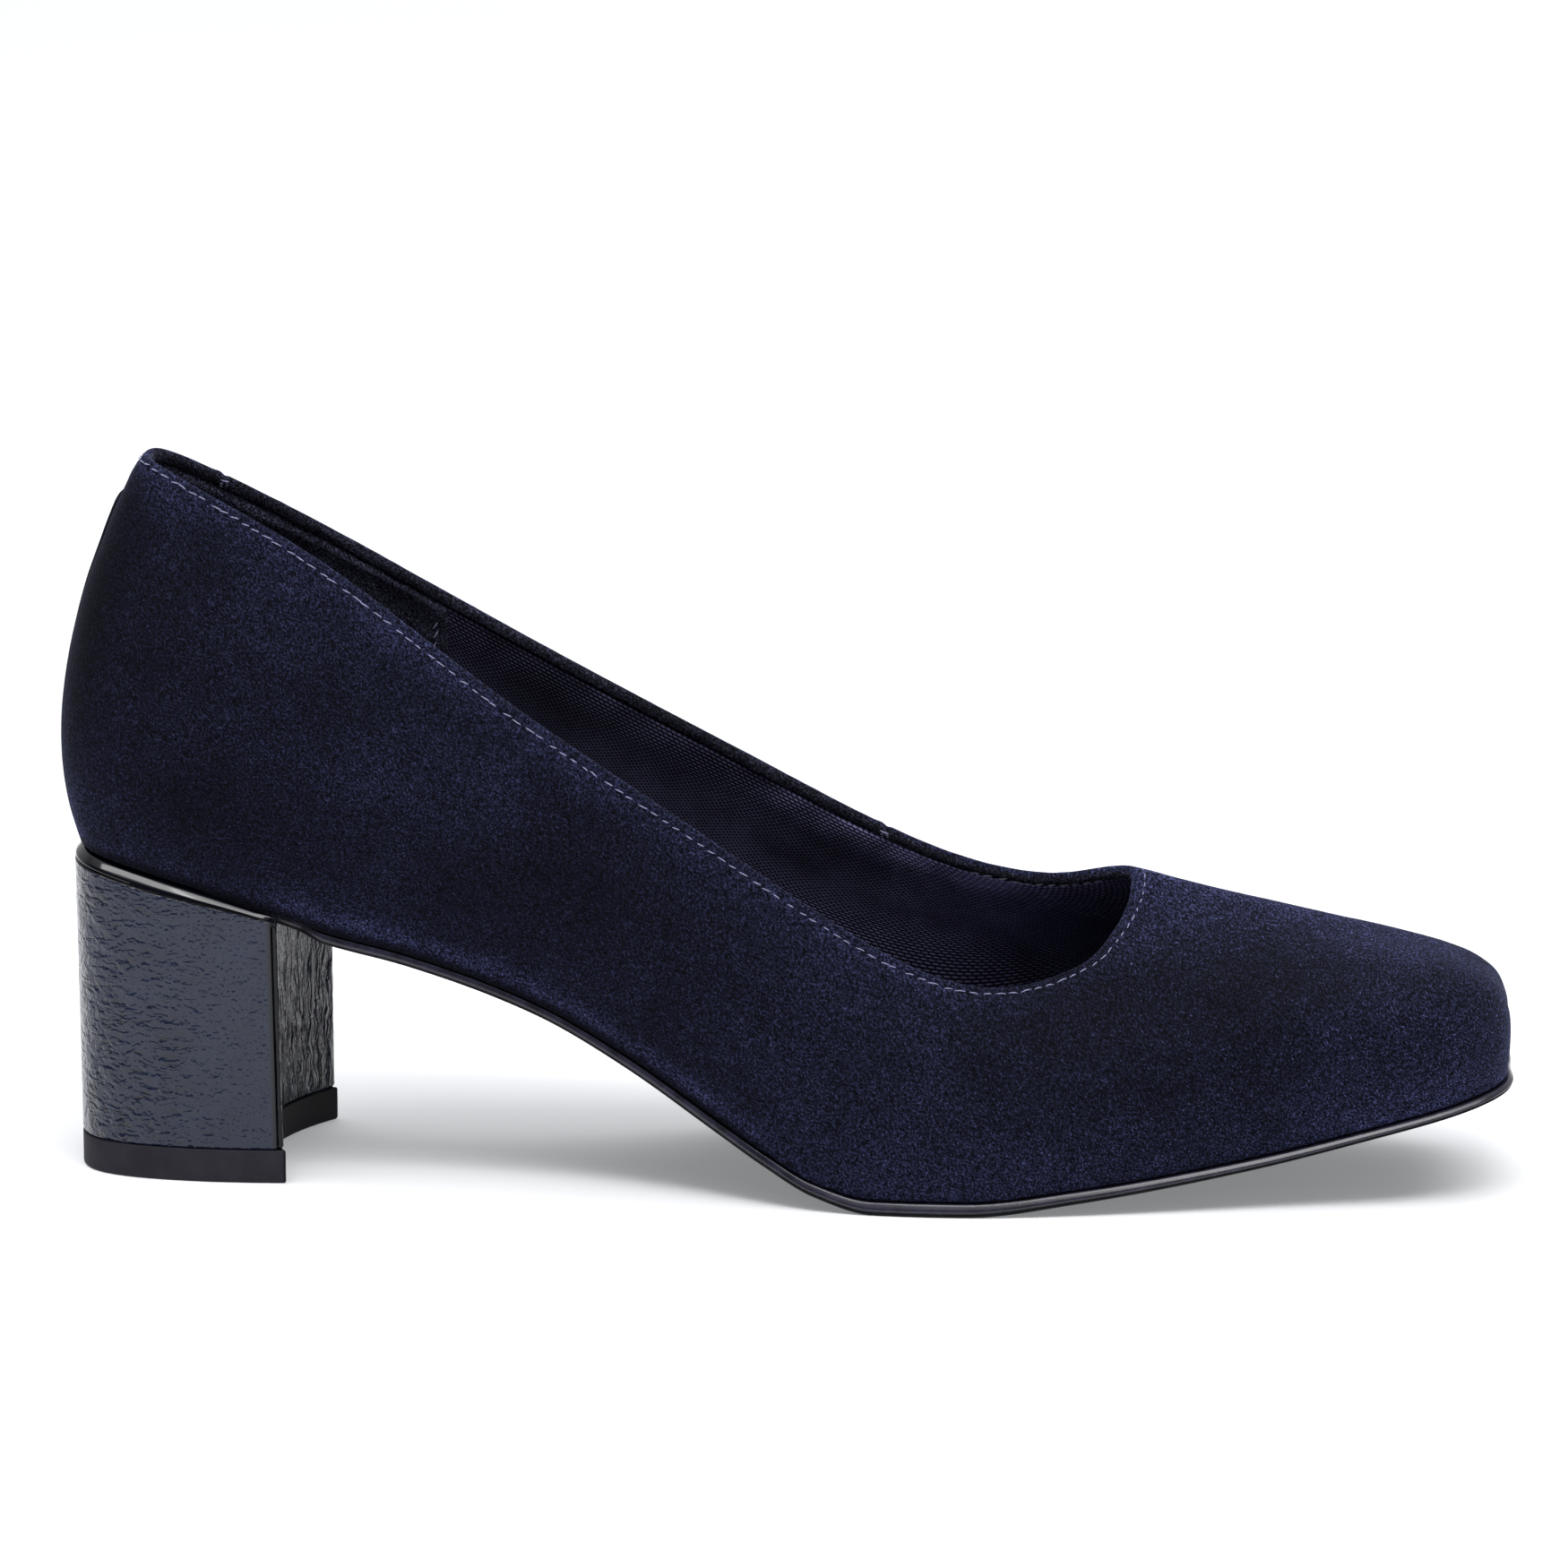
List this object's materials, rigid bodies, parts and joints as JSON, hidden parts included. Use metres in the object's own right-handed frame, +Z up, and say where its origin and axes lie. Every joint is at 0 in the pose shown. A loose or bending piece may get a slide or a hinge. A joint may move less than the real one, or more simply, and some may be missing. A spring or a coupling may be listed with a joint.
{
  "type": "square toe pump",
  "caption": "Right slip-on pump with a square toe, low-cut topline, lasted suede upper, thin outsole and a straight block heel with a rolled rim.",
  "frame": {"origin": "centre of the shoe's box on the floor it stands on", "axes": "+X towards the toe, +Y towards the inner (medial) side, +Z up"},
  "size_m": [0.2448, 0.0772, 0.12],
  "materials": {
    "suede": "dark navy suede with a short nap",
    "patent": "glossy navy patent with fine crinkles",
    "sole": "black, satin edge",
    "lift": "matte black",
    "lining": "navy twill"
  },
  "bodies": {
    "root": {"upper": "suede", "back_strip": "suede", "insole": "lining", "outsole": "sole", "heel": "patent", "top_piece": "lift"}
  },
  "joints": []
}
